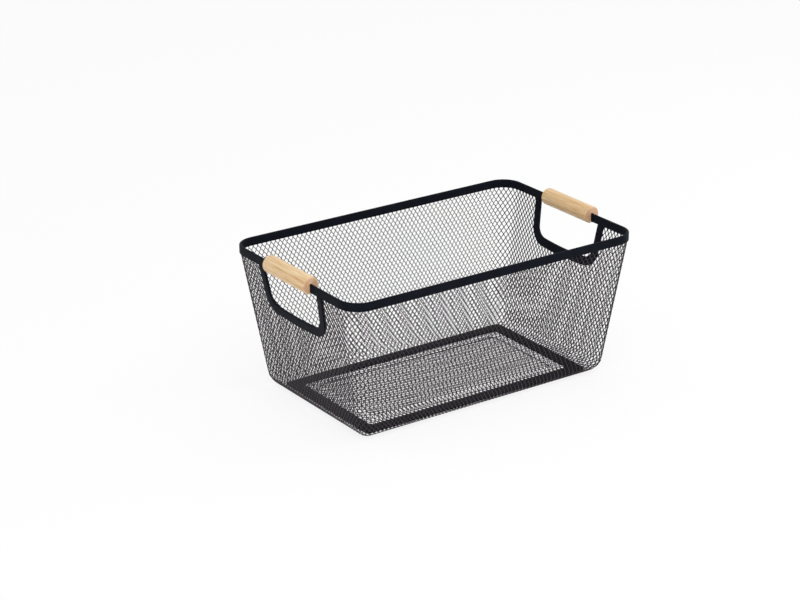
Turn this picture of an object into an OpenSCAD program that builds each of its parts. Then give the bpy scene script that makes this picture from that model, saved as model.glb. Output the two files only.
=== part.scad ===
// Wire locker basket: expanded steel mesh in a folded rim, with a hand opening and a wooden grip at each end.
// The length runs along X and the width along Y. The basket stands on Z = 0, with its middle over the origin.

/* [Rim] */
// Length over the rim
basket_l = 355.8; // [320:0.1:400]
// Width over the rim
basket_w = 225; // [200:0.5:270]
// Height of the rim's top edge
rim_top = 158.5; // [140:0.5:190]
// Height of the folded rim
rim_h = 9; // [7:0.5:12]
// Corner radius of the rim, outside
rim_corner_r = 23; // [18:0.5:30]
// Thickness of the steel that the rim and the opening trims are folded from
fold_t = 1; // [0.7:0.1:1.2]

/* [Mesh] */
// Thickness of the expanded mesh
mesh_t = 0.6; // [0.5:0.1:1]
// Gap between the mesh and each side of the fold that holds it
fold_gap = 0.1; // [0.08:0.01:0.2]
// Lean of the end walls from upright, in degrees
end_lean = 9.4; // [5:0.1:12]
// Lean of the side walls from upright, in degrees
side_lean = 7.95; // [5:0.05:12]
// Radius of the bend between wall and floor, outside
bend_r = 18; // [14:0.5:22]
// Corner radius of the wall where it meets the bend
low_corner_r = 10; // [7:0.5:14]
// Corner radius of the wall at the floor
foot_corner_r = 2; // [1.5:0.5:4]
// Width of the wall's flat edge, turned in under the base ring
flange_w = 5; // [3:0.5:8]

/* [Wall net] */
// Diamond gaps across a side wall, about five times as wide as those of the real mesh
side_gaps = 12; // [6:1:12]
// Diamond gaps across an end wall
end_gaps = 7; // [4:1:8]
// Diamond gaps up a wall
gap_rows = 4; // [2:1:5]
// Width of the strands between the walls' gaps
wall_strand_w = 2.5; // [1.5:0.1:4]
// Height left whole above and below the walls' gaps
wall_net_margin = 3; // [1:0.5:8]
// Width left whole between the gaps and an opening's trim
trim_margin = 1; // [0.5:0.5:4]
// Narrowest piece of a gap that is still cut beside a trim
least_gap = 4; // [2:0.5:8]

/* [Floor] */
// Gap between the wall's turned-in edge and the floor sheet
butt_gap = 0.3; // [0.2:0.1:1]
// Width of the floor's flat border inside the base ring
border_w = 10; // [6:0.5:20]
// Width of the slope up to the floor's raised field
step_w = 3; // [2:0.5:6]
// Height of the raised field
raise_h = 3; // [1.5:0.5:5]
// Corner radius of the raised field
field_corner_r = 8; // [4:0.5:14]
// Pitch of the field's diamond gaps along the length, twice that of the real mesh
net_pitch_l = 9.8; // [9.4:0.1:16]
// Pitch of the field's diamond gaps across the width, twice that of the real mesh
net_pitch_w = 15.4; // [14.8:0.1:24]
// Width of the strands between the field's gaps, twice that of the real mesh
net_strand_w = 1; // [0.8:0.1:2.4]
// Least width left whole round the gaps
net_margin = 2.5; // [1.5:0.1:6]

/* [Base ring] */
// Width of the strip
ring_w = 14.5; // [10:0.5:18]
// Thickness of the strip
ring_t = 2; // [1:0.1:3]
// Height of the strip's underside above the mesh
ring_lift = 0.5; // [0.3:0.1:0.8]
// Clearance between the strip's outer edge and the bend of the wall
ring_edge_gap = 1.1; // [0.6:0.1:1.6]
// Corner radius of the strip, outside
ring_corner_r = 6; // [4:0.5:12]
// Corner radius of the strip, inside
ring_inner_r = 4; // [2:0.5:10]

/* [Hand openings] */
// Width of an opening at the rim
hand_top_w = 98.2; // [85:0.2:110]
// Width of an opening at its lower corners
hand_low_w = 93.2; // [80:0.2:105]
// Depth of an opening below the rim, along the wall
hand_depth = 41.1; // [34:0.1:55]
// How far the lower edge dips in its middle
hand_dip = 1.4; // [0:0.1:3]
// Corner radius of an opening
hand_corner_r = 13; // [8:0.5:16]
// Width of a trim's legs
leg_w = 8.6; // [5:0.1:10]
// Width of a trim's lower part
sill_w = 9.6; // [6:0.1:11]
// Outer corner radius of a trim
trim_corner_r = 21; // [14:0.5:26]
// Gap between a trim's legs and the underside of the rim
leg_gap = 0.4; // [0.4:0.1:0.8]
// Gap between a trim's fold and the cut edge of the mesh
cut_gap = 0.2; // [0.1:0.1:0.6]

/* [Grips] */
// Diameter of a grip
grip_d = 18.4; // [15:0.1:22]
// Length of a grip
grip_l = 77; // [60:1:84]
// Height of the rim's top above a grip's centre line
grip_bite = 1.9; // [1:0.05:4]
// Gap between the rim and each side of a grip's slot
slot_gap = 0.2; // [0.1:0.05:0.5]
// Rounding of a grip's end edges
grip_edge_r = 1.8; // [0.5:0.1:3]

/* [Hidden] */

corner_steps = 10;
bend_steps = 6;
dip_steps = 12;
edge_steps = 5;
overcut = 2;

steel = [0.12, 0.125, 0.15];
strip_steel = [0.19, 0.195, 0.21];
wood = [0.86, 0.7, 0.48];

rim_t = mesh_t + 2 * fold_gap + 2 * fold_t;
rim_low = rim_top - rim_h;
fold_in = fold_t + fold_gap;
wall_top = rim_top - fold_in;
wall_half_l = basket_l / 2 - fold_in;
wall_half_w = basket_w / 2 - fold_in;
wall_corner_r = rim_corner_r - fold_in;
mean_lean = (end_lean + side_lean) / 2;
bend_top = bend_r * (1 - sin(mean_lean));

// How far the wall's outer face lies inside its place at the rim, at height z
function wall_inset(z, lean) =
    let (tangent_z = bend_r * (1 - sin(lean)))
    z >= rim_low ? 0
    : z >= tangent_z ? (rim_low - z) * tan(lean)
    : (rim_low - tangent_z) * tan(lean) + bend_r * cos(lean) - sqrt(pow(bend_r, 2) - pow(bend_r - z, 2));

// Corner radius of the wall's outer face in the bend, where the face tilts that far below upright
function bend_corner(tilt) = foot_corner_r + (low_corner_r - foot_corner_r) * cos(tilt) / cos(mean_lean);

flat_half_l = wall_half_l - wall_inset(0, end_lean);
flat_half_w = wall_half_w - wall_inset(0, side_lean);

// The strip reaches over the start of the bend as far as its underside is clear of the mesh
ring_low = mesh_t + ring_lift;
ring_reach = sqrt(pow(bend_r - mesh_t, 2) - pow(bend_r - ring_low, 2)) - ring_edge_gap;
ring_half_l = flat_half_l + ring_reach;
ring_half_w = flat_half_w + ring_reach;

foot_half_l = ring_half_l - ring_w - border_w;
foot_half_w = ring_half_w - ring_w - border_w;
field_half_l = foot_half_l - step_w;
field_half_w = foot_half_w - step_w;

// Half diagonals of the gap in a diamond that is given by its own half diagonals, with half a strand round it
function gap_in(cell, strand_w) = cell * (1 - strand_w / 2 * norm(cell) / (cell[0] * cell[1]));

net_cell = [net_pitch_l / 2, net_pitch_w / 2];
net_gap = gap_in(net_cell, net_strand_w);

grip_x = basket_l / 2 - rim_t / 2;
grip_z = rim_top - grip_bite;

// One loop of points round a rectangle with round corners, at height z
function loop(half_l, half_w, r, z) = [
    for (corner = [0:3], step = [0:corner_steps])
        let (
            a = 90 * (corner + step / corner_steps),
            side_x = corner == 0 || corner == 3 ? 1 : -1,
            side_y = corner < 2 ? 1 : -1
        )
        [side_x * (half_l - r) + r * cos(a), side_y * (half_w - r) + r * sin(a), z]
];

// A wall level is its height, the tilt of its face below the horizontal and its corner radius
wall_levels = concat(
    [[wall_top, 0, wall_corner_r], [rim_low, mean_lean / 2, wall_corner_r]],
    [
        for (step = [0:bend_steps])
            let (tilt = mean_lean + (90 - mean_lean) * step / bend_steps)
            [bend_r * (1 - sin(tilt)), tilt, bend_corner(tilt)]
    ]
);

// The wall's loop at one level, on its outer face or that far inside it
function wall_loop(level, depth) = loop(
    wall_half_l - wall_inset(level[0], end_lean) - depth * cos(level[1]),
    wall_half_w - wall_inset(level[0], side_lean) - depth * cos(level[1]),
    level[2] - depth * cos(level[1]),
    level[0] + depth * sin(level[1])
);

function flange_loop(z) = loop(flat_half_l - flange_w, flat_half_w - flange_w, foot_corner_r, z);

function backwards(list) = [for (i = [len(list) - 1:-1:0]) list[i]];

// Joins loops of points into one solid: a tube that closes on itself, or a body with two flat ends
module skin(loops, closed) {
    count = len(loops[0]);
    spans = closed ? len(loops) : len(loops) - 1;
    sides = [
        for (i = [0:spans - 1], k = [0:count - 1])
            let (
                here = i * count,
                next = (i + 1) % len(loops) * count,
                k2 = (k + 1) % count
            )
            each [[here + k, here + k2, next + k2], [here + k, next + k2, next + k]]
    ];
    ends = closed ? [] : [
        [for (k = [count - 1:-1:0]) k],
        [for (k = [0:count - 1]) (len(loops) - 1) * count + k]
    ];
    polyhedron(points = [for (one = loops) each one], faces = concat(sides, ends), convexity = 6);
}

// A flat plate with round corners
module plate(half_l, half_w, r) {
    square([2 * (half_l - r), 2 * half_w], center = true);
    square([2 * half_l, 2 * (half_w - r)], center = true);
    for (x = [-1, 1], y = [-1, 1])
        translate([x * (half_l - r), y * (half_w - r)])
            circle(r = r, $fn = 64);
}

// Edge of a hand opening, grown outwards by the same amount all round: down one side, round and up the other
function hand_edge(grow_side, grow_sill, r, top) =
    let (
        half_top = hand_top_w / 2 + grow_side,
        half_low = hand_low_w / 2 + grow_side,
        low = -(hand_depth - hand_dip + grow_sill),
        span = half_low - r,
        right = [
            for (step = [0:corner_steps])
                let (a = -90 * step / corner_steps)
                [span + r * cos(a), low + r + r * sin(a)]
        ],
        sill = [
            for (step = [1:dip_steps - 1])
                let (u = 1 - 2 * step / dip_steps)
                [span * u, low - hand_dip * (1 - u * u)]
        ]
    )
    concat(
        [[half_top, top]],
        right,
        sill,
        backwards([for (p = right) [-p[0], p[1]]]),
        [[-half_top, top]]
    );

// Stands a flat outline up in the middle of a wall on the right, with its zero line at the rim's underside
module on_wall(half, lean, thickness) {
    translate([half - mesh_t / 2 * cos(lean), 0, rim_low + mesh_t / 2 * sin(lean)])
        rotate([0, lean, 0])
            translate([-thickness / 2, 0, 0])
                rotate([90, 0, 90])
                    linear_extrude(thickness)
                        children();
}

module on_end_wall(thickness) {
    on_wall(wall_half_l, end_lean, thickness)
        children();
}

module hand_cut() {
    grow = fold_t + cut_gap;
    on_end_wall(2 * bend_r)
        polygon(hand_edge(grow, grow, hand_corner_r + grow, rim_h + overcut));
}

// A diamond with its middle at [x, y], drawn in towards x = 0 with its depth as the wall is
function diamond(x, y, gap, taper) = [
    for (p = [[gap[0], 0], [0, gap[1]], [-gap[0], 0], [0, -gap[1]]])
        [(x + p[0]) * (1 + taper * (y + p[1])), y + p[1]]
];

// The gaps of one wall, laid flat: rows of diamonds, each half a place along from the next
module wall_gaps(count, top_half, low_half, lean) {
    slope = (rim_low - bend_top) / cos(lean);
    taper = (1 - low_half / top_half) / slope;
    cell = [top_half / count, (slope - 2 * wall_net_margin) / gap_rows / 2];
    gap = gap_in(cell, wall_strand_w);
    edges = [-wall_net_margin, wall_net_margin - slope];
    intersection() {
        polygon([
            for (corner = [[1, 0], [-1, 0], [-1, 1], [1, 1]])
                let (y = edges[corner[1]])
                [corner[0] * top_half * (1 + taper * y), y]
        ]);
        for (row = [0:2 * gap_rows], place = [-count:count])
            if ((place + count + row + 1) % 2 == 0)
                polygon(diamond(place * cell[0], edges[0] - row * cell[1], gap, taper));
    }
}

module side_wall_cut() {
    rotate([0, 0, 90])
        on_wall(wall_half_w, side_lean, 2 * overcut)
            wall_gaps(
                side_gaps,
                wall_half_l - wall_corner_r,
                wall_half_l - wall_inset(bend_top, end_lean) - low_corner_r,
                side_lean
            );
}

// Beside a trim the gaps end at its edge, and what would be left too narrow there stays whole
module end_wall_cut() {
    grow_side = leg_w + trim_margin;
    grow_sill = sill_w + trim_margin;
    on_end_wall(2 * overcut)
        offset(delta = least_gap / 2)
            offset(delta = -least_gap / 2)
                difference() {
                    wall_gaps(
                        end_gaps,
                        wall_half_w - wall_corner_r,
                        wall_half_w - wall_inset(bend_top, side_lean) - low_corner_r,
                        end_lean
                    );
                    polygon(hand_edge(grow_side, grow_sill, trim_corner_r + trim_margin, overcut));
                }
}

module wall_mesh() {
    outer = concat([for (level = wall_levels) wall_loop(level, 0)], [flange_loop(0)]);
    inner = concat([for (level = wall_levels) wall_loop(level, mesh_t)], [flange_loop(mesh_t)]);
    color(steel)
        difference() {
            skin(concat(outer, backwards(inner)), true);
            for (end = [0, 1])
                mirror([end, 0, 0]) {
                    hand_cut();
                    end_wall_cut();
                }
            for (side = [0, 1])
                mirror([0, side, 0])
                    side_wall_cut();
        }
}

// True where a point of the raised field is at least the net's margin away from the field's edge
function on_net(x, y) =
    let (
        past_l = max(0, abs(x) - field_half_l + field_corner_r),
        past_w = max(0, abs(y) - field_half_w + field_corner_r)
    )
    norm([past_l, past_w]) <= field_corner_r - net_margin;

// The diamond gaps of the raised field: every second place of a grid of half pitches
module net_gaps() {
    reach_l = ceil(field_half_l / net_cell[0]);
    reach_w = ceil(field_half_w / net_cell[1]);
    for (i = [-reach_l:reach_l], j = [-reach_w:reach_w]) {
        x = i * net_cell[0];
        y = j * net_cell[1];
        if ((i + j) % 2 == 0 && on_net(abs(x) + net_gap[0], y) && on_net(x, abs(y) + net_gap[1]))
            polygon([
                [x + net_gap[0], y],
                [x, y + net_gap[1]],
                [x - net_gap[0], y],
                [x, y - net_gap[1]]
            ]);
    }
}

module floor_mesh() {
    edge_l = flat_half_l - flange_w - butt_gap;
    edge_w = flat_half_w - flange_w - butt_gap;
    color(steel)
        difference() {
            skin([
                loop(field_half_l, field_half_w, field_corner_r, raise_h + mesh_t),
                loop(foot_half_l, foot_half_w, field_corner_r, mesh_t),
                loop(edge_l, edge_w, foot_corner_r, mesh_t),
                loop(edge_l, edge_w, foot_corner_r, 0),
                loop(foot_half_l, foot_half_w, field_corner_r, 0),
                loop(field_half_l, field_half_w, field_corner_r, raise_h)
            ], false);
            translate([0, 0, raise_h - overcut])
                linear_extrude(mesh_t + 2 * overcut)
                    net_gaps();
        }
}

module base_ring() {
    color(strip_steel)
        translate([0, 0, ring_low])
            linear_extrude(ring_t)
                difference() {
                    plate(ring_half_l, ring_half_w, ring_corner_r);
                    plate(ring_half_l - ring_w, ring_half_w - ring_w, ring_inner_r);
                }
}

// A ring that follows the rim, from one distance inside its outer face to another
module rim_band(from, to, height) {
    linear_extrude(height)
        difference() {
            plate(basket_l / 2 - from, basket_w / 2 - from, rim_corner_r - from);
            plate(basket_l / 2 - to, basket_w / 2 - to, rim_corner_r - to);
        }
}

module rim_channel() {
    color(steel)
        difference() {
            translate([0, 0, rim_low])
                rim_band(0, rim_t, rim_h);
            translate([0, 0, rim_low - overcut])
                rim_band(fold_t, rim_t - fold_t, rim_h - fold_t + overcut);
        }
}

module opening_trim() {
    color(steel)
        difference() {
            on_end_wall(rim_t)
                polygon(concat(
                    hand_edge(leg_w, sill_w, trim_corner_r, -leg_gap),
                    backwards(hand_edge(0, 0, hand_corner_r, -leg_gap))
                ));
            on_end_wall(mesh_t + 2 * fold_gap)
                polygon(concat(
                    hand_edge(leg_w + overcut, sill_w + overcut, trim_corner_r + overcut, overcut),
                    backwards(hand_edge(fold_t, fold_t, hand_corner_r + fold_t, overcut))
                ));
        }
}

module right_opening_trim() {
    opening_trim();
}

module left_opening_trim() {
    mirror([1, 0, 0])
        opening_trim();
}

// Half outline of a grip, with its end edges rounded
function grip_outline() =
    let (
        r = grip_d / 2,
        half = grip_l / 2,
        edge = [
            for (step = [0:edge_steps])
                let (a = 90 * step / edge_steps)
                [r - grip_edge_r + grip_edge_r * cos(a), half - grip_edge_r + grip_edge_r * sin(a)]
        ]
    )
    concat(
        [[0, -half]],
        backwards([for (p = edge) [p[0], -p[1]]]),
        edge,
        [[0, half]]
    );

module grip() {
    color(wood)
        translate([grip_x, 0, grip_z])
            difference() {
                rotate([90, 0, 0])
                    rotate_extrude($fn = 72)
                        polygon(grip_outline());
                translate([-rim_t / 2 - slot_gap, -grip_l / 2 - overcut, -grip_d])
                    cube([rim_t + 2 * slot_gap, grip_l + 2 * overcut, grip_d + grip_bite + slot_gap]);
            }
}

module right_grip() {
    grip();
}

module left_grip() {
    mirror([1, 0, 0])
        grip();
}

wall_mesh();
floor_mesh();
base_ring();
rim_channel();
left_opening_trim();
right_opening_trim();
left_grip();
right_grip();
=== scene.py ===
# Wire locker basket: expanded steel mesh in a folded rim, with two hand openings and two wooden grips
import math

import bmesh
import bpy
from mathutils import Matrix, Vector


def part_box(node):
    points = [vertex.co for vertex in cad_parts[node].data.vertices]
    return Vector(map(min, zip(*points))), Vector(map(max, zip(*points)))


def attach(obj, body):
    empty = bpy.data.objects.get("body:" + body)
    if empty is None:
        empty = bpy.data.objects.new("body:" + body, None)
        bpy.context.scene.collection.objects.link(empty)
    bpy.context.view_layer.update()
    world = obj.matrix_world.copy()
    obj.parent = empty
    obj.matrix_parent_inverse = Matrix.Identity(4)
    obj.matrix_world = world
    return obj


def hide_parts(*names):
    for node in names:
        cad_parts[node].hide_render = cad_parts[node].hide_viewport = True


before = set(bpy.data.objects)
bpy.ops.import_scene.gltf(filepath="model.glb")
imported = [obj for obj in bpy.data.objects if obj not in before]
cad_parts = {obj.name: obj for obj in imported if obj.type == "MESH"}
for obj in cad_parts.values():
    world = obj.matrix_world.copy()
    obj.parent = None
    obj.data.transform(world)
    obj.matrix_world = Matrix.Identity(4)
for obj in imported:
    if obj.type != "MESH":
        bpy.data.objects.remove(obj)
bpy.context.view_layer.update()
print("frame loaded:", len(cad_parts), "nodes")

mm = 0.001
body = "root"


# Small helpers: colours, nodes, meshes

def hexColour(text, alpha=1.0):
    channels = [int(text[i:i + 2], 16) / 255 for i in (0, 2, 4)]
    linear = [c / 12.92 if c <= 0.04045 else ((c + 0.055) / 1.055) ** 2.4 for c in channels]
    return (*linear, alpha)


def addNode(tree, kind, settings=None, **links):
    # a link's name is the input's name, with _ for a space, or i and the input's number
    node = tree.nodes.new(kind)
    for name, value in (settings or {}).items():
        setattr(node, name, value)
    for name, value in links.items():
        key = int(name[1:]) if name[0] == "i" and name[1:].isdigit() else name.replace("_", " ")
        socket = node.inputs[key]
        if isinstance(value, bpy.types.NodeSocket):
            tree.links.new(value, socket)
        else:
            socket.default_value = value
    return node


def meshObject(name, points, faces, material=None):
    data = bpy.data.meshes.new(name)
    data.from_pydata(points, [], faces)
    data.validate()
    data.update()
    made = bpy.data.objects.new(name, data)
    bpy.context.scene.collection.objects.link(made)
    if material:
        data.materials.append(material)
    return made


def skin(loops, capped=False):
    # closed loops of points joined one to the next: with capped ends, or round to the first loop again
    count = len(loops[0])
    points = [p for loop in loops for p in loop]
    faces = []
    for i in range(len(loops) - 1 if capped else len(loops)):
        here, following = i * count, (i + 1) % len(loops) * count
        for k in range(count):
            k2 = (k + 1) % count
            faces.append((here + k, following + k, following + k2, here + k2))
    if capped:
        faces.append(tuple(range(count)))
        faces.append(tuple(range(len(points) - count, len(points))))
    return points, faces


def skinnedPiece(name, loops, capped, material, node):
    made = meshObject(name, *skin(loops, capped), material)
    shape = bmesh.new()
    shape.from_mesh(made.data)
    bmesh.ops.recalc_face_normals(shape, faces=shape.faces)
    bmesh.ops.triangulate(shape, faces=[f for f in shape.faces if len(f.verts) > 4])
    shape.to_mesh(made.data)
    shape.free()
    made.data.shade_smooth()
    made.data.set_sharp_from_angle(angle=math.radians(35))
    return standFor(made, node)


def standFor(piece, node):
    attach(piece, body)
    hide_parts(node)
    return piece


def arc(cx, cy, r, start, end, steps):
    angles = [math.radians(start + (end - start) * i / steps) for i in range(steps + 1)]
    return [(cx + r * math.cos(a), cy + r * math.sin(a)) for a in angles]


cornerSteps = 16


def roundLoop(halfL, halfW, r, z):
    # a rectangle with round corners, seen from above
    points = []
    for corner in range(4):
        sideX = 1 if corner in (0, 3) else -1
        sideY = 1 if corner < 2 else -1
        centre = sideX * (halfL - r), sideY * (halfW - r)
        points += [(x, y, z) for x, y in arc(*centre, r, 90 * corner, 90 * corner + 90, cornerSteps)]
    return points


# Sizes that the frame gives, in metres, and those of the two kinds of sheet

rimLow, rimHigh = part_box("rim_channel")
gripLow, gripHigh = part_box("right_grip")
ringLow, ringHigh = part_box("base_ring")
floorLow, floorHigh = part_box("floor_mesh")

mesh = {
    "thickness": 0.6 * mm,      # the room that the folded steel leaves for the mesh
    "steel": 0.3 * mm,          # thickness of the sheet before it was slit and stretched
    "strand": 0.68 * mm,        # width of one strand
    "twist": 0.35 * mm,         # how far a strand's edges stand out of the sheet, turned by the stretching
    "bond": 0.7 * mm,           # how long two strands run together where they meet
    "bondWidth": 1.1 * mm,
    "drift": 0.45,              # how far a diamond may stray from its place, as a share of its size
    "driftOver": 60 * mm,       # the distance over which it strays
    "seed": 4.0,
}

fold = {
    "steel": 1.0 * mm,
    "gap": 0.1 * mm,            # between the folded steel and the mesh inside it
    "edge": 1.1 * mm,           # rounding of a fold
    "burr": 0.2 * mm,           # rounding of a cut edge
}
channelWidth = mesh["thickness"] + 2 * fold["gap"] + 2 * fold["steel"]


# Materials

def newMaterial(name):
    made = bpy.data.materials.new(name)
    made.use_nodes = True
    tree = made.node_tree
    tree.nodes.clear()
    shader = addNode(tree, "ShaderNodeBsdfPrincipled")
    out = addNode(tree, "ShaderNodeOutputMaterial", Surface=shader.outputs[0])
    return made, tree, shader, out


coat = {
    "cloud": 14 * mm,           # patches where the coat lies thicker or thinner
    "ripple": 2.2 * mm,         # waviness of the steel under the coat
    "peel": 0.6 * mm,           # orange peel of the melted powder
}


def powderCoatSteel(name, colour, roughness, gloss):
    # polyester powder coat on sheet steel: near black and low in gloss, with a faint orange peel over slight waves
    made, tree, shader, out = newMaterial(name)
    place = addNode(tree, "ShaderNodeTexCoord").outputs["Object"]
    cloud = addNode(tree, "ShaderNodeTexNoise", {}, Vector=place, Scale=1 / coat["cloud"], Detail=3.0)
    ripple = addNode(tree, "ShaderNodeTexNoise", {}, Vector=place, Scale=1 / coat["ripple"], Detail=2.0)
    peel = addNode(tree, "ShaderNodeTexNoise", {}, Vector=place, Scale=1 / coat["peel"], Detail=1.0)
    spread = {"From_Min": 0.3, "From_Max": 0.7}
    tone = addNode(tree, "ShaderNodeMapRange", {}, Value=cloud.outputs["Fac"], To_Min=0.8, To_Max=1.2, **spread)
    tint = addNode(tree, "ShaderNodeMix", {"data_type": "RGBA", "blend_type": "MULTIPLY"}, Factor=1.0,
                   i6=hexColour(colour), i7=tone.outputs[0])
    rough = addNode(tree, "ShaderNodeMapRange", {}, Value=ripple.outputs["Fac"], To_Min=roughness - 0.05,
                    To_Max=roughness + 0.05, **spread)
    waves = addNode(tree, "ShaderNodeBump", {}, Strength=0.35, Distance=0.12 * mm, Height=ripple.outputs["Fac"])
    bump = addNode(tree, "ShaderNodeBump", {}, Strength=0.15, Distance=0.05 * mm, Height=peel.outputs["Fac"],
                   Normal=waves.outputs[0])
    tree.links.new(tint.outputs[2], shader.inputs["Base Color"])
    tree.links.new(rough.outputs[0], shader.inputs["Roughness"])
    tree.links.new(bump.outputs[0], shader.inputs["Normal"])
    shader.inputs["IOR"].default_value = 1.5
    shader.inputs["Specular IOR Level"].default_value = gloss
    return made


foldedSteel = powderCoatSteel("powderCoatFoldedSteel", "12151d", 0.5, 0.04)
# the mesh has the same near-black powder coat as the folded steel; the extra lightness of its colour here is painted
# light, standing in for the glint on its lit strands
meshSteelWithPaintedLight = powderCoatSteel("powderCoatExpandedMeshPaintedLight", "2c232b", 0.45, 0.32)
stripSteel = powderCoatSteel("powderCoatBaseStrip", "0e1118", 0.5, 0.04)


wood = {
    "ring": 2.6 * mm,           # spacing of the growth rings
    "pore": 0.5 * mm,           # width of the fine streaks that the open pores leave
    "stretch": 0.035,           # width of a streak over its length
    "endDepth": 1.2 * mm,       # how far in from its ends the end grain shows
}


def gripWood():
    # turned and sanded beech with a thin clear seal: pale, with fine streaks along it and darker, pinker ends
    made, tree, shader, out = newMaterial("sealedTurnedBeech")
    place = addNode(tree, "ShaderNodeTexCoord").outputs["Object"]
    along = addNode(tree, "ShaderNodeMapping", {}, Vector=place, Scale=(1, wood["stretch"], 1))
    streak = addNode(tree, "ShaderNodeTexNoise", {}, Vector=along.outputs[0], Scale=1 / wood["pore"] / 2,
                     Detail=3.0, Roughness=0.6)
    rings = addNode(tree, "ShaderNodeTexNoise", {}, Vector=along.outputs[0], Scale=1 / wood["ring"] / 2,
                    Detail=2.0)
    grain = addNode(tree, "ShaderNodeMix", {"data_type": "FLOAT"}, Factor=0.45, i2=streak.outputs["Fac"],
                    i3=rings.outputs["Fac"])
    ramp = addNode(tree, "ShaderNodeValToRGB", {}, Fac=grain.outputs[0])
    bands = [(0.33, "c08e56"), (0.45, "dbb482"), (0.55, "e8ca9b"), (0.68, "f2dfbc")]
    while len(ramp.color_ramp.elements) < len(bands):
        ramp.color_ramp.elements.new(0.5)
    for stop, (at, colour) in zip(ramp.color_ramp.elements, bands):
        stop.position = at
        stop.color = hexColour(colour)
    away = addNode(tree, "ShaderNodeMath", {"operation": "ABSOLUTE"},
                   i0=addNode(tree, "ShaderNodeSeparateXYZ", {}, Vector=place).outputs["Y"])
    atEnd = addNode(tree, "ShaderNodeMapRange", {}, Value=away.outputs[0], From_Min=gripHigh.y - wood["endDepth"],
                    From_Max=gripHigh.y, To_Min=0.0, To_Max=0.55)
    tinted = addNode(tree, "ShaderNodeMix", {"data_type": "RGBA"}, Factor=atEnd.outputs[0], i6=ramp.outputs[0],
                     i7=hexColour("d3a184"))
    bump = addNode(tree, "ShaderNodeBump", {}, Strength=0.2, Distance=0.06 * mm, Height=streak.outputs["Fac"])
    tree.links.new(tinted.outputs[2], shader.inputs["Base Color"])
    tree.links.new(bump.outputs[0], shader.inputs["Normal"])
    shader.inputs["Roughness"].default_value = 0.42
    shader.inputs["IOR"].default_value = 1.5
    return made


turnedBeech = gripWood()
print("materials made")


# Rim: a strip folded into a channel that opens downwards

rim = {"corner": 23 * mm}


def rimProfile():
    # pairs of (distance inside the rim's outer face, height), round the channel's section
    low, top, t = rimLow.z, rimHigh.z, channelWidth
    e, b, s = fold["edge"], fold["burr"], fold["steel"]
    outer = [(b, low), (0, low + b)] + [(-x, y) for x, y in arc(-e, top - e, e, 0, 90, 5)]
    inner = [(-x, y) for x, y in arc(e - t, top - e, e, 90, 180, 5)] + [(t, low + b), (t - b, low)]
    slot = [(t - s + b, low), (t - s, low + b), (t - s, top - s), (s, top - s), (s, low + b), (s - b, low)]
    return outer + inner + slot


rimLoops = [roundLoop(rimHigh.x - d, rimHigh.y - d, rim["corner"] - d, z) for d, z in rimProfile()]
skinnedPiece("rimChannel", rimLoops, False, foldedSteel, "rim_channel")
print("rim made")


# Base ring: a flat strip frame with soft edges

ring = {"width": 14.5 * mm, "outerCorner": 6 * mm, "innerCorner": 4 * mm, "edge": 0.5 * mm}


def ringLoop(d, z):
    r = ring["outerCorner"] - d if d < ring["width"] / 2 else ring["innerCorner"] + (ring["width"] - d)
    return roundLoop(ringHigh.x - d, ringHigh.y - d, r, z)


def ringProfile():
    low, top, e, w = ringLow.z, ringHigh.z, ring["edge"], ring["width"]
    outer = [(e, low), (0, low + e)] + [(-x, y) for x, y in arc(-e, top - e, e, 0, 90, 3)]
    return outer + [(-x, y) for x, y in arc(e - w, top - e, e, 90, 180, 3)] + [(w, low + e), (w - e, low)]


ringLoops = [ringLoop(d, z) for d, z in ringProfile()]
skinnedPiece("baseRing", ringLoops, False, stripSteel, "base_ring")
print("base ring made")


# Opening trims: the same folded channel, bent round the edge of a hand opening

hand = {
    "topWidth": 98.2 * mm,
    "lowWidth": 93.2 * mm,
    "depth": 41.1 * mm,
    "dip": 1.4 * mm,            # how far the sill's ends lie over its middle
    "corner": 13 * mm,
    "leg": 8.6 * mm,            # width of the trim beside the hole
    "sill": 9.6 * mm,           # and under it
    "outerCorner": 21 * mm,
    "edge": 0.9 * mm,
    "legGap": 0.4 * mm,         # between a leg's end and the rim
    "meshCut": 3.95 * mm,       # how far behind the trim's edge the mesh is cut
}

wall = {
    "cornerTop": 21.9 * mm,
    "cornerLow": 10 * mm,
    "cornerFoot": 2 * mm,
    "bend": 18 * mm,
    "flange": 5 * mm,
    "intoRim": 6.6 * mm,
    "endLean": math.radians(9.4),
    "sideLean": math.radians(7.95),
}
wall["halfLength"] = rimHigh.x - fold["steel"] - fold["gap"]
wall["halfWidth"] = rimHigh.y - fold["steel"] - fold["gap"]
wall["lean"] = (wall["endLean"] + wall["sideLean"]) / 2


def handEdge(growSide, growSill, r, top):
    # one side down, round the bottom and up the other side, in the end wall's own plane
    halfTop = hand["topWidth"] / 2 + growSide
    halfLow = hand["lowWidth"] / 2 + growSide
    low = hand["dip"] - hand["depth"] - growSill
    span = halfLow - r
    legSteps, sillSteps = 6, 16
    side = [(halfTop + (halfLow - halfTop) * i / legSteps, top + (low + r - top) * i / legSteps)
            for i in range(legSteps)]
    side += arc(span, low + r, r, 0, -90, 10)
    shares = [1 - 2 * i / sillSteps for i in range(1, sillSteps)]
    sill = [(span * u, low - hand["dip"] * (1 - u * u)) for u in shares]
    return side + sill + [(-x, y) for x, y in reversed(side)]


def endWallPoint(across, along, out, side):
    # a point given across the end wall, up along it and out of its middle face
    lean = wall["endLean"]
    x = wall["halfLength"] - mesh["thickness"] / 2 * math.cos(lean)
    z = rimLow.z + mesh["thickness"] / 2 * math.sin(lean)
    x += along * math.sin(lean) + out * math.cos(lean)
    z += along * math.cos(lean) - out * math.sin(lean)
    return (side * x, across, z)


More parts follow.
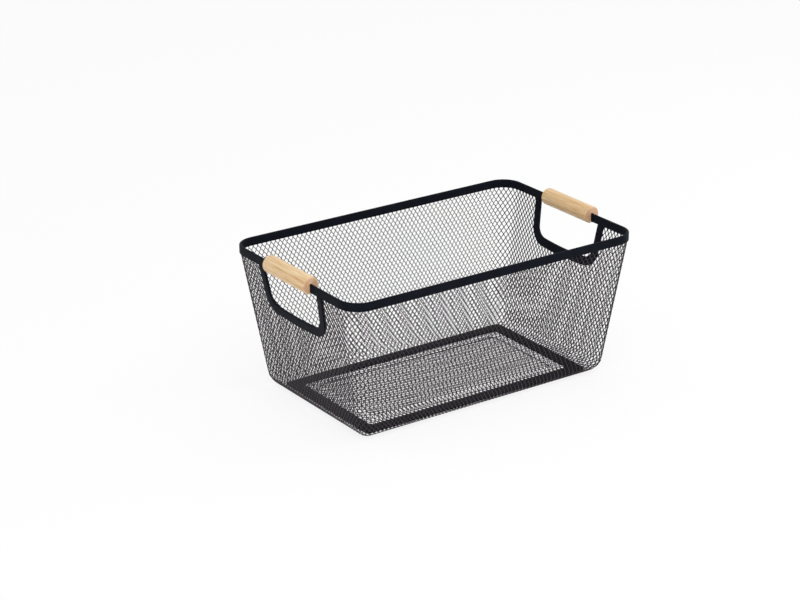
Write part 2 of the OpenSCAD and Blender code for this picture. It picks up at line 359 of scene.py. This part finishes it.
def trimSection():
    # (the edge that a distance counts from, the distance, height over the middle face), round the channel
    h, e, b = channelWidth / 2, hand["edge"], fold["burr"]
    slot = h - fold["steel"]
    bend = [(e - x, y) for x, y in arc(0, h - e, e, 90, 0, 4) + arc(0, e - h, e, 0, -90, 4)]
    section = [("far", b, h)] + [("hole", d, out) for d, out in bend]
    section += [("far", b, -h), ("far", 0, b - h), ("far", 0, -slot - b), ("far", b, -slot)]
    section += [("hole", fold["steel"], -slot), ("hole", fold["steel"], slot)]
    return section + [("far", b, slot), ("far", 0, slot + b), ("far", 0, h - b)]


def makeTrim(name, node, side):
    holeEdge = handEdge(0, 0, hand["corner"], -hand["legGap"])
    farEdge = handEdge(hand["leg"], hand["sill"], hand["outerCorner"], -hand["legGap"])
    loops = []
    for (holeX, holeY), (farX, farY) in zip(holeEdge, farEdge):
        width = math.hypot(farX - holeX, farY - holeY)
        loop = []
        for edge, distance, out in trimSection():
            share = distance / width if edge == "hole" else 1 - distance / width
            loop.append(endWallPoint(holeX + (farX - holeX) * share, holeY + (farY - holeY) * share, out, side))
        loops.append(loop)
    skinnedPiece(name, loops, True, foldedSteel, node)


makeTrim("rightOpeningTrim", "right_opening_trim", 1)
makeTrim("leftOpeningTrim", "left_opening_trim", -1)
print("opening trims made")


# Grips: turned dowels with rounded ends, slotted from below for the rim

grip = {"edge": 1.8 * mm, "slotGap": 0.2 * mm, "turnSteps": 48, "edgeSteps": 5}


def makeGrip(name, node, side):
    radius = (gripHigh.x - gripLow.x) / 2
    centreX, centreZ = (gripHigh.x + gripLow.x) / 2, gripHigh.z - radius
    halfSlot = channelWidth / 2 + grip["slotGap"]
    slotTop = rimHigh.z + grip["slotGap"]
    nearEnd = arc(grip["edge"] - gripHigh.y, radius - grip["edge"], grip["edge"], 180, 90, grip["edgeSteps"])
    loops = []
    for y, r in nearEnd + [(-y, r) for y, r in reversed(nearEnd)]:
        mouth = math.degrees(math.asin(halfSlot / r))
        loop = arc(centreX, centreZ, r, mouth - 90, 270 - mouth, grip["turnSteps"])
        loop += [(centreX - halfSlot, slotTop), (centreX + halfSlot, slotTop)]
        loops.append([(side * x, y, z) for x, z in loop])
    skinnedPiece(name, loops, True, turnedBeech, node)


makeGrip("rightGrip", "right_grip", 1)
makeGrip("leftGrip", "left_grip", -1)
print("grips made")


# Expanded mesh: a tree lays diamonds on a guide surface, opens each one and gives the strands their thickness

def expandedSheetTree():
    tree = bpy.data.node_groups.new("expandedSheet", "GeometryNodeTree")
    face = tree.interface
    face.new_socket("Geometry", in_out="INPUT", socket_type="NodeSocketGeometry")
    for name, kind in (("Columns", "Int"), ("Rows", "Int"), ("First Column", "Int"), ("Last Column", "Int"),
                       ("Closed Round", "Float"), ("Strand Width", "Float"), ("Bond Share", "Float"),
                       ("Bond Width", "Float"), ("Steel Thickness", "Float"), ("Twist", "Float"),
                       ("Drift", "Float"), ("Drift Over", "Float"), ("Seed", "Float"), ("Finish", "Material")):
        face.new_socket(name, in_out="INPUT", socket_type="NodeSocket" + kind)
    face.new_socket("Geometry", in_out="OUTPUT", socket_type="NodeSocketGeometry")
    given = addNode(tree, "NodeGroupInput").outputs

    def sums(operation, *values):
        links = {"i" + str(index): value for index, value in enumerate(values)}
        return addNode(tree, "ShaderNodeMath", {"operation": operation}, **links).outputs[0]

    def vector(x, y, z=0.0):
        return addNode(tree, "ShaderNodeCombineXYZ", {}, X=x, Y=y, Z=z).outputs[0]

    def compare(operation, a, b):
        return addNode(tree, "FunctionNodeCompare", {"operation": operation}, A=a, B=b).outputs[0]

    def named(name, kind):
        return addNode(tree, "GeometryNodeInputNamedAttribute", {"data_type": kind}, Name=name).outputs[0]

    # one point for each diamond, row by row, with every other row half a column along
    rowCount = sums("SUBTRACT", sums("MULTIPLY", given["Rows"], 2.0), 1.0)
    index = addNode(tree, "GeometryNodeInputIndex").outputs[0]
    row = sums("FLOOR", sums("DIVIDE", index, given["Columns"]))
    column = sums("MODULO", index, given["Columns"])
    shift = sums("MULTIPLY", sums("MODULO", row, 2.0), 0.5)
    centreU = sums("DIVIDE", sums("ADD", sums("ADD", column, 0.5), shift), given["Columns"])
    centreV = sums("DIVIDE", sums("MULTIPLY", sums("ADD", row, 1.0), 0.5), given["Rows"])
    points = addNode(tree, "GeometryNodePoints", {}, Count=sums("MULTIPLY", rowCount, given["Columns"]),
                     Position=vector(centreU, centreV)).outputs[0]
    outside = addNode(tree, "FunctionNodeBooleanMath", {"operation": "OR"},
                      i0=compare("LESS_THAN", column, given["First Column"]),
                      i1=compare("GREATER_EQUAL", column, given["Last Column"])).outputs[0]
    points = addNode(tree, "GeometryNodeDeleteGeometry", {"domain": "POINT"}, Geometry=points,
                     Selection=outside).outputs[0]

    # a diamond is a six-sided cell: two tips, and at each side a short bond that it shares with its neighbour
    cell = addNode(tree, "GeometryNodeMeshCircle", {"fill_type": "NGON"}, Vertices=6, Radius=1.0).outputs[0]
    corner = addNode(tree, "ShaderNodeSeparateXYZ", {},
                     Vector=addNode(tree, "GeometryNodeInputPosition").outputs[0]).outputs
    reach = sums("MULTIPLY_ADD", sums("ABSOLUTE", corner["X"]), sums("MULTIPLY_ADD", given["Bond Share"], -2.0, 1.0),
                 sums("MULTIPLY_ADD", given["Bond Share"], 1.5, -0.5))
    upright = sums("MULTIPLY", sums("SIGN", corner["X"]), reach)
    sideways = sums("MULTIPLY", corner["Y"], -1 / math.sqrt(3))
    cell = addNode(tree, "GeometryNodeSetPosition", {}, Geometry=cell, Position=vector(sideways, upright)).outputs[0]
    size = vector(sums("DIVIDE", 1.0, given["Columns"]), sums("DIVIDE", 1.0, given["Rows"]), 1.0)
    laid = addNode(tree, "GeometryNodeInstanceOnPoints", {}, Points=points, Instance=cell, Scale=size).outputs[0]
    flat = addNode(tree, "GeometryNodeRealizeInstances", {}, Geometry=laid).outputs[0]

    # each corner of a diamond, and each diamond's middle, keep their place along the sheet for the twist
    def kept(geometry, domain, name, kind, value):
        node = addNode(tree, "GeometryNodeCaptureAttribute", {"domain": domain}, Geometry=geometry)
        node.capture_items.new(kind, name)
        tree.links.new(value, node.inputs[1])
        return node.outputs

    alongSheet = addNode(tree, "ShaderNodeSeparateXYZ", {},
                         Vector=addNode(tree, "GeometryNodeInputPosition").outputs[0]).outputs["X"]
    flat, cornerAlong = kept(flat, "POINT", "Corner Along", "FLOAT", alongSheet)[:2]
    flat, middleAlong = kept(flat, "FACE", "Middle Along", "FLOAT", alongSheet)[:2]

    # the guide says where each place of the flat sheet is, and how far from the cut it lies
    here = addNode(tree, "ShaderNodeSeparateXYZ", {}, Vector=addNode(tree, "GeometryNodeInputPosition").outputs[0])
    sheetPlace = named("sheetPlace", "FLOAT_VECTOR")
    guidePlace = addNode(tree, "GeometryNodeInputPosition").outputs[0]

    def placeAt(u, v):
        turn = sums("MULTIPLY", sums("FLOOR", u), given["Closed Round"])
        return vector(sums("SUBTRACT", u, turn), v)

    def sampled(value, kind, spot):
        return addNode(tree, "GeometryNodeSampleUVSurface", {"data_type": kind}, Mesh=given["Geometry"], Value=value,
                       Source_UV_Map=sheetPlace, Sample_UV=spot).outputs[0]

    # stretching never opens a sheet quite evenly, so the diamonds stray a little from their places
    even = sampled(guidePlace, "FLOAT_VECTOR", placeAt(here.outputs["X"], here.outputs["Y"]))
    noise = addNode(tree, "ShaderNodeTexNoise", {"noise_dimensions": "4D"}, Vector=even, W=given["Seed"],
                    Scale=sums("DIVIDE", 1.0, given["Drift Over"]), Detail=1.0).outputs["Color"]
    stray = addNode(tree, "ShaderNodeSeparateXYZ", {}, Vector=noise).outputs
    driftU = sums("DIVIDE", sums("MULTIPLY", sums("SUBTRACT", stray["X"], 0.5), given["Drift"]), given["Columns"])
    driftV = sums("DIVIDE", sums("MULTIPLY", sums("SUBTRACT", stray["Y"], 0.5), given["Drift"]), given["Rows"])
    spot = placeAt(sums("ADD", here.outputs["X"], driftU), sums("ADD", here.outputs["Y"], driftV))
    cut = compare("LESS_THAN", sampled(named("cutDistance", "FLOAT"), "FLOAT", spot), 0.0)
    trimmed = addNode(tree, "GeometryNodeDeleteGeometry", {"domain": "FACE"}, Geometry=flat, Selection=cut).outputs[0]
    curved = addNode(tree, "GeometryNodeSetPosition", {}, Geometry=trimmed,
                     Position=sampled(guidePlace, "FLOAT_VECTOR", spot)).outputs[0]
    joined = addNode(tree, "GeometryNodeMergeByDistance", {}, Geometry=curved, Distance=0.02 * mm).outputs[0]

    # open each diamond so that what is left of its edge is half a strand wide all round
    opened = addNode(tree, "GeometryNodeExtrudeMesh", {"mode": "FACES"}, Mesh=joined, Offset_Scale=0.0,
                     Individual=True)
    area = addNode(tree, "GeometryNodeInputMeshFaceArea").outputs[0]
    ends = addNode(tree, "GeometryNodeInputMeshEdgeVertices").outputs
    side = addNode(tree, "ShaderNodeVectorMath", {"operation": "DISTANCE"}, i0=ends[2], i1=ends[3]).outputs["Value"]
    meanSide = addNode(tree, "GeometryNodeFieldOnDomain", {"domain": "EDGE", "data_type": "FLOAT"},
                       Value=side).outputs[0]
    inRadius = sums("DIVIDE", area, sums("MULTIPLY", meanSide, 3.0))
    shrink = sums("SUBTRACT", 1.0, sums("DIVIDE", sums("MULTIPLY", given["Strand Width"], 0.5), inRadius))
    hole = addNode(tree, "FunctionNodeBooleanMath", {"operation": "AND"}, i0=opened.outputs["Top"],
                   i1=compare("GREATER_THAN", shrink, 0.06)).outputs[0]
    withHoles, isHole = kept(opened.outputs["Mesh"], "FACE", "Hole", "BOOLEAN", hole)[:2]
    withHoles, middlePlace = kept(withHoles, "FACE", "Middle Place", "VECTOR", guidePlace)[:2]
    scaled = addNode(tree, "GeometryNodeScaleElements", {"domain": "FACE"}, Geometry=withHoles, Selection=isHole,
                     Scale=shrink).outputs[0]

    # two strands lie side by side in a bond, so the sides of a hole stand further in than its other edges
    halfCell = sums("MULTIPLY", sums("SUBTRACT", cornerAlong, middleAlong), sums("MULTIPLY", given["Columns"], 2.0))
    inward = addNode(tree, "ShaderNodeVectorMath", {"operation": "SUBTRACT"}, i0=middlePlace, i1=guidePlace).outputs[0]
    inward = addNode(tree, "ShaderNodeVectorMath", {"operation": "NORMALIZE"}, i0=inward).outputs[0]
    extra = sums("MULTIPLY", sums("SUBTRACT", given["Bond Width"], given["Strand Width"]), 0.5)
    narrow = addNode(tree, "ShaderNodeVectorMath", {"operation": "SCALE"}, i0=inward,
                     Scale=sums("MULTIPLY", sums("ABSOLUTE", halfCell), extra)).outputs[0]

    # the strands are turned about their length: one side of each hole stands out of the sheet, the other sinks in
    normal = addNode(tree, "GeometryNodeInputNormal").outputs[0]
    lift = addNode(tree, "ShaderNodeVectorMath", {"operation": "SCALE"}, i0=normal,
                   Scale=sums("MULTIPLY", halfCell, given["Twist"])).outputs[0]
    moved = addNode(tree, "ShaderNodeVectorMath", {"operation": "ADD"}, i0=lift, i1=narrow).outputs[0]
    twisted = addNode(tree, "GeometryNodeSetPosition", {}, Geometry=scaled, Selection=isHole,
                      Offset=moved).outputs[0]
    strands = addNode(tree, "GeometryNodeDeleteGeometry", {"domain": "FACE"}, Geometry=twisted,
                      Selection=isHole).outputs[0]

    # thickness: half of it to each side of the guide
    halfDown = addNode(tree, "ShaderNodeVectorMath", {"operation": "SCALE"}, i0=normal,
                       Scale=sums("MULTIPLY", given["Steel Thickness"], -0.5)).outputs[0]
    under = addNode(tree, "GeometryNodeSetPosition", {}, Geometry=strands, Offset=halfDown).outputs[0]
    raised = addNode(tree, "GeometryNodeExtrudeMesh", {"mode": "FACES"}, Mesh=under,
                     Offset_Scale=given["Steel Thickness"], Individual=False).outputs[0]
    turned = addNode(tree, "GeometryNodeFlipFaces", {}, Mesh=under).outputs[0]
    both = addNode(tree, "GeometryNodeJoinGeometry")
    tree.links.new(raised, both.inputs[0])
    tree.links.new(turned, both.inputs[0])
    solid = addNode(tree, "GeometryNodeMergeByDistance", {}, Geometry=both.outputs[0], Distance=0.01 * mm).outputs[0]

    # nothing sinks below the table that the basket stands on
    spread = addNode(tree, "ShaderNodeSeparateXYZ", {}, Vector=guidePlace).outputs
    standing = addNode(tree, "GeometryNodeSetPosition", {}, Geometry=solid,
                       Position=vector(spread["X"], spread["Y"], sums("MAXIMUM", spread["Z"], 0.0))).outputs[0]
    real = addNode(tree, "GeometryNodeRealizeInstances", {}, Geometry=standing).outputs[0]
    done = addNode(tree, "GeometryNodeSetMaterial", {}, Geometry=real, Material=given["Finish"]).outputs[0]
    addNode(tree, "NodeGroupOutput", {}, Geometry=done)
    return tree


expandedSheet = expandedSheetTree()
print("expanded sheet tree made")


def guideObject(name, points, faces, places, cuts):
    made = meshObject(name, points, faces)
    place = made.data.attributes.new("sheetPlace", "FLOAT_VECTOR", "POINT")
    place.data.foreach_set("vector", [c for p in places for c in p])
    cut = made.data.attributes.new("cutDistance", "FLOAT", "POINT")
    cut.data.foreach_set("value", cuts)
    return made


def gridFaces(wide, high):
    # quads between wide by high points, numbered row by row
    starts = [j * wide + i for j in range(high - 1) for i in range(wide - 1)]
    return [(k, k + 1, k + wide + 1, k + wide) for k in starts]


def expandedPiece(name, guide, node, rowLength, **values):
    values |= {
        "Strand_Width": mesh["strand"], "Bond_Share": mesh["bond"] / rowLength, "Finish": meshSteelWithPaintedLight,
        "Bond_Width": mesh["bondWidth"],
        "Steel_Thickness": mesh["steel"], "Seed": mesh["seed"],
        "Drift": mesh["drift"], "Drift_Over": mesh["driftOver"],
    }
    carrier = bpy.data.objects.new(name + "Guide", guide.data)
    bpy.context.scene.collection.objects.link(carrier)
    modifier = carrier.modifiers.new("sheet", "NODES")
    modifier.node_group = expandedSheet
    keys = {s.name: s.identifier for s in expandedSheet.interface.items_tree if s.in_out == "INPUT"}
    for label, value in values.items():
        modifier[keys[label.replace("_", " ")]] = value
    data = bpy.data.meshes.new_from_object(carrier.evaluated_get(bpy.context.evaluated_depsgraph_get()))
    data.name = name
    made = bpy.data.objects.new(name, data)
    bpy.context.scene.collection.objects.link(made)
    bpy.data.objects.remove(carrier)
    print(name, len(data.polygons), "faces")
    return standFor(made, node)


# Wall: one band of mesh, turned in at the foot, leaning out and standing upright inside the rim

pattern = {
    "endColumns": 19,           # diamonds from an end wall's middle to a corner's middle
    "sideColumns": 31.5,        # and from a side wall's middle
    "rows": 22,
    "cornerPitch": 5.4 * mm,    # width of a diamond at a corner, where the sheet was stretched round it
    "cornerReach": 4.0,         # diamonds over which that width goes back to the flat wall's
}
quarterColumns = pattern["endColumns"] + pattern["sideColumns"]
bendTop = wall["bend"] * (1 - math.sin(wall["lean"]))
stretches = [
    wall["flange"],
    wall["bend"] * (math.pi / 2 - wall["lean"]),
    (rimLow.z - bendTop) / math.cos(wall["lean"]),
    wall["intoRim"],
]


def wallInset(z, lean):
    # how far the wall's outer face lies inside its place at the rim
    bend = wall["bend"]
    tangent = bend * (1 - math.sin(lean))
    if z >= rimLow.z:
        return 0
    if z >= tangent:
        return (rimLow.z - z) * math.tan(lean)
    round_ = bend * math.cos(lean) - math.sqrt(max(bend ** 2 - (bend - z) ** 2, 0))
    return (rimLow.z - tangent) * math.tan(lean) + round_


def wallLevel(v):
    # half length, half width, corner radius and height of the middle face, from the flange's edge (0) to the top (1)
    run = v * sum(stretches)
    flange, bent, slope, slot = stretches
    extra = 0
    if run < flange:
        z, tilt, r, extra = 0, math.pi / 2, wall["cornerFoot"], flange - run
    elif run < flange + bent:
        tilt = math.pi / 2 - (math.pi / 2 - wall["lean"]) * (run - flange) / bent
        z = wall["bend"] * (1 - math.sin(tilt))
        r = wall["cornerFoot"] + (wall["cornerLow"] - wall["cornerFoot"]) * math.cos(tilt) / math.cos(wall["lean"])
    elif run < flange + bent + slope:
        part = (run - flange - bent) / slope
        z, tilt = bendTop + (rimLow.z - bendTop) * part, wall["lean"]
        r = wall["cornerLow"] + (wall["cornerTop"] - wall["cornerLow"]) * part
    else:
        z, tilt, r = rimLow.z + run - flange - bent - slope, 0, wall["cornerTop"]
    inside = mesh["thickness"] / 2 * math.cos(tilt)
    return (
        wall["halfLength"] - wallInset(z, wall["endLean"]) - inside - extra,
        wall["halfWidth"] - wallInset(z, wall["sideLean"]) - inside - extra,
        max(r - inside, 0.5 * mm),
        z + mesh["thickness"] / 2 * math.sin(tilt),
    )


def fromCorner(n, columns, length):
    # how far from a corner's middle the nth diamond lies, on half a wall of this length
    def widened(k):
        return pattern["cornerReach"] * (1 - math.exp(-k / pattern["cornerReach"]))

    flatPitch = (length - pattern["cornerPitch"] * widened(columns)) / (columns - widened(columns))
    return flatPitch * n + (pattern["cornerPitch"] - flatPitch) * widened(n)


def quarterPoint(level, n):
    # n counts the diamonds from the middle of an end wall to the middle of a side wall
    halfL, halfW, r, z = level
    turnStart, turn = halfW - r, r * math.pi / 2
    cornerAt = turnStart + turn / 2
    fromEnd = n - pattern["endColumns"]
    if fromEnd < 0:
        s = cornerAt - fromCorner(-fromEnd, pattern["endColumns"], cornerAt)
    else:
        s = cornerAt + fromCorner(fromEnd, pattern["sideColumns"], turn / 2 + halfL - r)
    if s < turnStart:
        return halfL, s
    if s < turnStart + turn:
        a = (s - turnStart) / r
        return halfL - r + r * math.cos(a), halfW - r + r * math.sin(a)
    return max(halfL - r - (s - turnStart - turn), 0), halfW


def cutDistanceAt(across, depth):
    # distance from the line where the mesh is cut for a hand opening: negative inside it
    part = min(max(depth / hand["depth"], 0), 1)
    halfWidth = (hand["topWidth"] + (hand["lowWidth"] - hand["topWidth"]) * part) / 2
    r = hand["corner"]
    qx = abs(across) - (halfWidth - r)
    qz = depth - (hand["depth"] - hand["dip"] * min(across / halfWidth, 1) ** 2 - r)
    outside = math.hypot(max(qx, 0), max(qz, 0)) + min(max(qx, qz), 0)
    return outside - r - hand["meshCut"]


def wallGuide():
    # four points to a diamond each way, with a little more beyond each edge
    columns, rows = round(16 * quarterColumns), 4 * pattern["rows"]
    points, places, cuts = [], [], []
    for j in range(-1, rows + 2):
        level = wallLevel(min(max(j / rows, 0), 1))
        depth = (rimLow.z - level[3]) / math.cos(wall["endLean"])
        for i in range(-1, columns + 1):
            turn = (i / columns * 4) % 4
            sector = int(turn)
            t = 1 - (turn - sector) if sector % 2 else turn - sector
            x, y = quarterPoint(level, t * quarterColumns)
            sideX = 1 if sector in (0, 3) else -1
            sideY = 1 if sector < 2 else -1
            onEnd = x > level[0] - 0.5 * mm
            points.append((sideX * x, sideY * y, level[3]))
            places.append((i / columns, j / rows, 0))
            cuts.append(cutDistanceAt(y, depth) if onEnd else 1.0)
    return points, gridFaces(columns + 2, rows + 3), places, cuts


wallColumns = round(4 * quarterColumns)
wallSheet = guideObject("wallGuide", *wallGuide())
for name, first, last in (("wallMeshBack", 0, wallColumns // 2), ("wallMeshFront", wallColumns // 2, wallColumns)):
    expandedPiece(name, wallSheet, "wall_mesh", sum(stretches) / pattern["rows"], Columns=wallColumns,
                  Rows=pattern["rows"], First_Column=first, Last_Column=last, Closed_Round=1.0,
                  Twist=mesh["twist"])
bpy.data.objects.remove(wallSheet)
print("wall mesh made:", wallColumns, "columns,", pattern["rows"], "rows")


# Floor: its diamonds lie across the basket, and its middle field stands up from the border

floor = {
    "column": 4.9 * mm, "row": 7.7 * mm,
    "border": 10 * mm, "step": 3 * mm, "raise": 3 * mm, "fieldCorner": 8 * mm,
}


def floorHeight(x, y):
    # the step's slope, measured in from the base ring's inner edge
    inX = ringHigh.x - ring["width"] - floor["border"] - abs(x)
    inY = ringHigh.y - ring["width"] - floor["border"] - abs(y)
    r = floor["fieldCorner"]
    deep = min(inX, inY)
    if inX < r and inY < r:
        deep = r - math.hypot(r - inX, r - inY)
    part = min(max(deep / floor["step"], 0), 1)
    return mesh["thickness"] / 2 + floor["raise"] * part


def floorGuide():
    # u runs along X and v along Y, with a diamond more beyond each edge, which is pushed back onto it
    nx, ny, beyond = 264, 140, 8
    points, places, cuts = [], [], []
    for j in range(-beyond, ny + beyond + 1):
        for i in range(-beyond, nx + beyond + 1):
            u, v = i / nx, j / ny
            x = (2 * min(max(u, 0), 1) - 1) * floorHigh.x
            y = (2 * min(max(v, 0), 1) - 1) * floorHigh.y
            points.append((x, y, floorHeight(x, y)))
            places.append((u, v, 0))
            cuts.append(1.0 if 0 <= u <= 1 else -1.0)
    return points, gridFaces(nx + 2 * beyond + 1, ny + 2 * beyond + 1), places, cuts


floorColumns = round(2 * floorHigh.x / floor["column"])
floorRows = round(2 * floorHigh.y / floor["row"])
floorSheet = guideObject("floorGuide", *floorGuide())
expandedPiece("floorMesh", floorSheet, "floor_mesh", floor["row"], Columns=floorColumns, Rows=floorRows,
              First_Column=0, Last_Column=floorColumns, Closed_Round=0.0, Twist=-mesh["twist"])
bpy.data.objects.remove(floorSheet)
print("floor mesh made:", floorColumns, "columns,", floorRows, "rows")


# Stage, light and camera

stage = {"reach": 6.0, "colour": "ffffff", "glow": 0.8, "sky": 0.75}


def seenDirectly(tree):
    # 1 where the camera, a glossy or a transmitted ray looks, and 0 for the light that falls on things
    path = addNode(tree, "ShaderNodeLightPath").outputs
    bright = addNode(tree, "ShaderNodeMath", {"operation": "MAXIMUM"}, i0=path["Is Glossy Ray"],
                     i1=path["Is Transmission Ray"]).outputs[0]
    return addNode(tree, "ShaderNodeMath", {"operation": "MAXIMUM"}, i0=path["Is Camera Ray"], i1=bright).outputs[0]


def makeStage():
    # matt white paper that shows mostly white, with a faint shadow left on it
    made, tree, shader, out = newMaterial("paleStudioFloor")
    shader.inputs["Base Color"].default_value = hexColour(stage["colour"])
    shader.inputs["Roughness"].default_value = 0.9
    shader.inputs["Specular IOR Level"].default_value = 0.0
    glow = addNode(tree, "ShaderNodeEmission", {}, Color=(1, 1, 1, 1), Strength=1.0)
    share = addNode(tree, "ShaderNodeMath", {"operation": "MULTIPLY"}, i0=seenDirectly(tree), i1=stage["glow"])
    both = addNode(tree, "ShaderNodeMixShader", {}, Fac=share.outputs[0], i1=shader.outputs[0], i2=glow.outputs[0])
    tree.links.new(both.outputs[0], out.inputs["Surface"])
    r = stage["reach"]
    ground = meshObject("studioFloor", [(-r, -r, 0), (r, -r, 0), (r, r, 0), (-r, r, 0)], [(0, 1, 2, 3)], made)


makeStage()

world = bpy.data.worlds.new("softStudio")
bpy.context.scene.world = world
world.use_nodes = True
worldTree = world.node_tree
worldTree.nodes.clear()
sky = addNode(worldTree, "ShaderNodeBackground", {}, Color=(1, 1, 1, 1), Strength=stage["sky"])
backdrop = addNode(worldTree, "ShaderNodeBackground", {}, Color=(1, 1, 1, 1), Strength=1.0)
direct = addNode(worldTree, "ShaderNodeMixShader", {}, Fac=seenDirectly(worldTree), i1=sky.outputs[0],
                 i2=backdrop.outputs[0])
addNode(worldTree, "ShaderNodeOutputWorld", {}, Surface=direct.outputs[0])


def areaLight(name, place, target, size, power):
    data = bpy.data.lights.new(name, "AREA")
    data.size = size
    data.energy = power
    made = bpy.data.objects.new(name, data)
    made.location = place
    made.rotation_euler = (Vector(target) - Vector(place)).to_track_quat("-Z", "Y").to_euler()
    bpy.context.scene.collection.objects.link(made)


areaLight("keySoftbox", (-0.45, -1.05, 1.6), (0, 0, 0.08), 0.9, 9)
areaLight("sideSoftbox", (1.3, -0.3, 1.1), (0, 0, 0.08), 0.9, 4)

photo = {
    "azimuth": -35.96, "elevation": 21.70, "distance": 2.4406, "target": (0.03087, -0.0051, 0.080),
    "focalPixels": 2324.6, "centreX": 462.6, "centreY": 302.5, "width": 800, "height": 600,
}


def photoCamera():
    data = bpy.data.cameras.new("photoCamera")
    data.sensor_width = 36
    data.lens = photo["focalPixels"] * data.sensor_width / photo["width"]
    data.shift_x = -(photo["centreX"] - photo["width"] / 2) / photo["width"]
    data.shift_y = (photo["centreY"] - photo["height"] / 2) / photo["width"]
    data.clip_end = 50
    az, el = math.radians(photo["azimuth"]), math.radians(photo["elevation"])
    back = Vector((math.sin(az) * math.cos(el), -math.cos(az) * math.cos(el), math.sin(el)))
    made = bpy.data.objects.new("photoCamera", data)
    made.location = Vector(photo["target"]) + back * photo["distance"]
    made.rotation_euler = (math.pi / 2 - el, 0, az)
    bpy.context.scene.collection.objects.link(made)
    bpy.context.scene.camera = made


photoCamera()
bpy.context.scene.view_settings.view_transform = "Standard"
print("stage, light and camera made")
